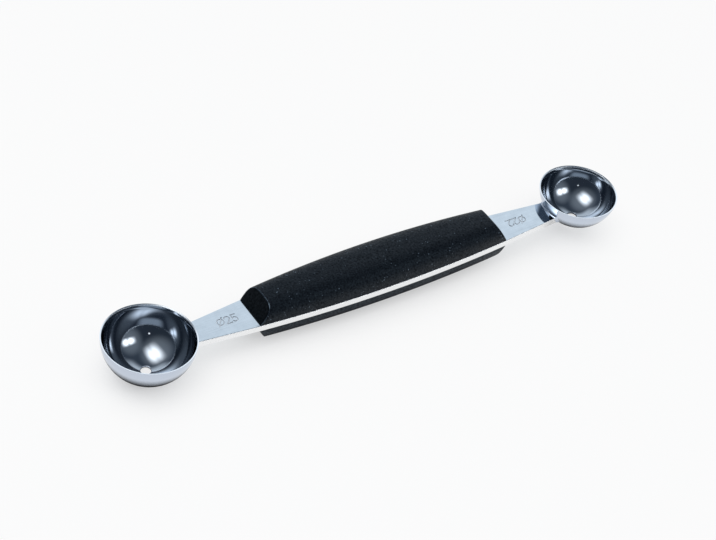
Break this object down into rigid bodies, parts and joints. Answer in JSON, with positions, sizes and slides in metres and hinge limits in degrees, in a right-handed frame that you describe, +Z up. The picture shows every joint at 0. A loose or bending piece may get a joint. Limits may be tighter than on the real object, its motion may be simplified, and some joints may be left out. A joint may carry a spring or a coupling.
{
  "type": "melon baller",
  "caption": "Double-ended melon baller: a flat steel tang with a polished round cup at each end and black handle scales along its middle.",
  "frame": {"origin": "bottom centre of the bounding box, at the level of the large cup's lowest point", "axes": "+X from the large cup to the small cup, +Y across the tool, +Z up out of the cups' mouths"},
  "size_m": [0.1682, 0.026, 0.0157],
  "materials": {
    "tang_steel": "satin",
    "cup_steel": "polished",
    "weld_steel": "satin",
    "scale_plastic": "satin",
    "pin_steel": "satin"
  },
  "bodies": {
    "root": {"tang": "tang_steel", "large_cup": "cup_steel", "large_cup_weld": "weld_steel", "small_cup": "cup_steel", "small_cup_weld": "weld_steel", "upper_scale": "scale_plastic", "lower_scale": "scale_plastic", "scale_pin_1": "pin_steel", "scale_pin_2": "pin_steel", "scale_pin_3": "pin_steel"}
  },
  "joints": []
}
